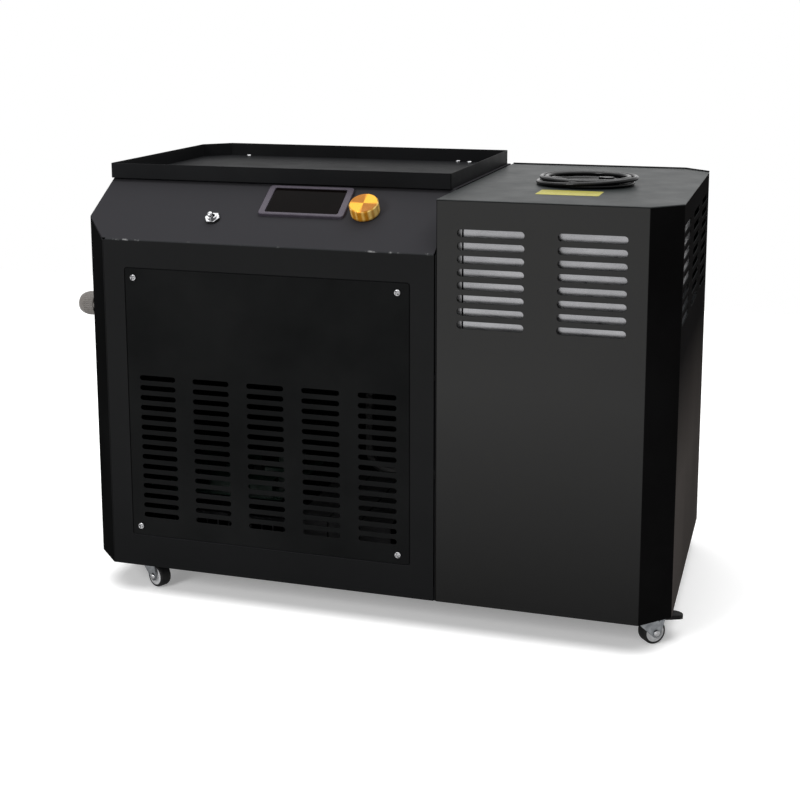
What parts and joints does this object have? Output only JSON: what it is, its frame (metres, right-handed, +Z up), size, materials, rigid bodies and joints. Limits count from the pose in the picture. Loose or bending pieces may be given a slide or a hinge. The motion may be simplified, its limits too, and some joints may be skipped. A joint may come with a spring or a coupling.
{
  "type": "electric gold melting furnace",
  "caption": "Induction gold melting furnace: sheet cabinet with sloped console, tray and crucible well, joined to a slotted water chiller, on swivel casters.",
  "frame": {"origin": "bottom centre of the machine's box, on the floor", "axes": "+X to the right as seen from the front, +Y towards the back, +Z up"},
  "size_m": [0.839, 0.4396, 0.5815],
  "materials": {
    "powder_coat": "satin black powder coat",
    "panel_coat": "satin black powder coat",
    "lid_coat": "satin dark grey paint",
    "refractory": "matte fired refractory",
    "white_ceramic": "matte white alumina",
    "graphite": "machined graphite, satin",
    "copper": "drawn copper",
    "core_iron": "lacquered",
    "bare_aluminium": "extruded",
    "black_plastic": "moulded",
    "white_plastic": "moulded",
    "circuit_board": "solder mask",
    "bezel_plastic": "satin purple-grey",
    "dark_window": "glossy smoked window",
    "chrome": "bright plated",
    "gold_anodised": "turned, gold anodised",
    "grey_plastic": "moulded nylon",
    "stainless": "brushed",
    "galvanised": "zinc plated",
    "hose_rubber": "braid-covered hose",
    "cord_sheath": "glossy black sheath",
    "wheel_plastic": "moulded nylon"
  },
  "bodies": {
    "cabinet": {"cable_gland": "grey_plastic", "cable_outlet": "cord_sheath", "capacitor_bank": "white_plastic", "caster_plates": "galvanised", "chiller_back_cover": "powder_coat", "chiller_base_pan": "powder_coat", "chiller_lid": "lid_coat", "chiller_shell": "powder_coat", "coil_bracket": "galvanised", "coil_terminals": "copper", "cord_end": "cord_sheath", "display_bezel": "bezel_plastic", "display_module": "circuit_board", "display_window": "dark_window", "furnace_back_cover": "powder_coat", "furnace_base_pan": "powder_coat", "furnace_shell": "powder_coat", "hearth_board": "refractory", "heat_sink": "bare_aluminium", "induction_coil": "copper", "inverter_board": "circuit_board", "inverter_fan_frame": "black_plastic", "mains_cord": "cord_sheath", "mains_cord_coil": "cord_sheath", "matching_transformer": "core_iron", "mouth_ring": "refractory", "potentiometer": "galvanised", "power_modules": "black_plastic", "radiator": "bare_aluminium", "radiator_fan_frame": "black_plastic", "refractory_sleeve": "refractory", "return_hose": "hose_rubber", "service_panel": "panel_coat", "supply_hose": "hose_rubber", "switch_housing": "chrome", "switch_nut": "chrome", "tank_hoses": "hose_rubber", "tank_shelf": "galvanised", "tray": "powder_coat", "water_pump": "core_iron", "water_tank": "stainless"},
    "knob": {"power_knob": "gold_anodised"},
    "lever": {"switch_lever": "chrome"},
    "inverter_fan": {"inverter_fan_rotor": "black_plastic"},
    "radiator_fan": {"radiator_fan_rotor": "black_plastic"},
    "liner": {"crucible_liner": "white_ceramic"},
    "crucible": {"graphite_crucible": "graphite"},
    "caster_front_left": {"caster_fork_front_left": "galvanised"},
    "wheel_front_left": {"caster_wheel_front_left": "wheel_plastic"},
    "caster_front_right": {"caster_fork_front_right": "galvanised"},
    "wheel_front_right": {"caster_wheel_front_right": "wheel_plastic"},
    "brake_pedal": {"brake_pedal": "black_plastic"},
    "caster_rear_left": {"caster_fork_rear_left": "galvanised"},
    "wheel_rear_left": {"caster_wheel_rear_left": "wheel_plastic"},
    "caster_rear_right": {"caster_fork_rear_right": "galvanised"},
    "wheel_rear_right": {"caster_wheel_rear_right": "wheel_plastic"}
  },
  "joints": [
    {"name": "power_knob_turn", "type": "hinge", "parent": "cabinet", "child": "knob", "pos_m": [0.00147, -0.15798, 0.5314], "axis": [0, -0.5329, 0.8462], "range_deg": [-300, 0]},
    {"name": "power_switch_toggle", "type": "hinge", "parent": "cabinet", "child": "lever", "pos_m": [-0.20353, -0.17849, 0.51612], "axis": [-1, 0, 0], "range_deg": [0, 24]},
    {"name": "inverter_fan_spin", "type": "hinge", "parent": "cabinet", "child": "inverter_fan", "pos_m": [-0.22753, 0.20575, 0.341], "axis": [0, 1, 0], "continuous": true},
    {"name": "radiator_fan_spin", "type": "hinge", "parent": "cabinet", "child": "radiator_fan", "pos_m": [0.26947, 0.20575, 0.158], "axis": [0, 1, 0], "continuous": true},
    {"name": "liner_lift_out", "type": "slide", "parent": "cabinet", "child": "liner", "axis": [0, 0, 1], "range_m": [0, 0.15]},
    {"name": "crucible_lift_out", "type": "slide", "parent": "liner", "child": "crucible", "axis": [0, 0, 1], "range_m": [0, 0.14]},
    {"name": "caster_front_left_swivel", "type": "hinge", "parent": "cabinet", "child": "caster_front_left", "pos_m": [-0.30753, -0.17975, 0.0365], "axis": [0, 0, 1], "continuous": true},
    {"name": "caster_front_left_roll", "type": "hinge", "parent": "caster_front_left", "child": "wheel_front_left", "pos_m": [-0.29417, -0.18656, 0.016], "axis": [-0.454, -0.891, 0], "continuous": true},
    {"name": "caster_front_right_swivel", "type": "hinge", "parent": "cabinet", "child": "caster_front_right", "pos_m": [0.37147, -0.17975, 0.0365], "axis": [0, 0, 1], "continuous": true},
    {"name": "caster_front_right_roll", "type": "hinge", "parent": "caster_front_right", "child": "wheel_front_right", "pos_m": [0.38296, -0.17011, 0.016], "axis": [0.6428, -0.766, 0], "continuous": true},
    {"name": "caster_brake_press", "type": "hinge", "parent": "caster_front_right", "child": "brake_pedal", "pos_m": [0.39062, -0.16368, 0.0334], "axis": [0.6428, -0.766, 0], "range_deg": [-14, 0]},
    {"name": "caster_rear_left_swivel", "type": "hinge", "parent": "cabinet", "child": "caster_rear_left", "pos_m": [-0.30753, 0.17825, 0.0365], "axis": [0, 0, 1], "continuous": true},
    {"name": "caster_rear_left_roll", "type": "hinge", "parent": "caster_rear_left", "child": "wheel_rear_left", "pos_m": [-0.32163, 0.17312, 0.016], "axis": [-0.342, 0.9397, 0], "continuous": true},
    {"name": "caster_rear_right_swivel", "type": "hinge", "parent": "cabinet", "child": "caster_rear_right", "pos_m": [0.37147, 0.17825, 0.0365], "axis": [0, 0, 1], "continuous": true},
    {"name": "caster_rear_right_roll", "type": "hinge", "parent": "caster_rear_right", "child": "wheel_rear_right", "pos_m": [0.36286, 0.19054, 0.016], "axis": [0.8192, 0.5736, 0], "continuous": true}
  ]
}
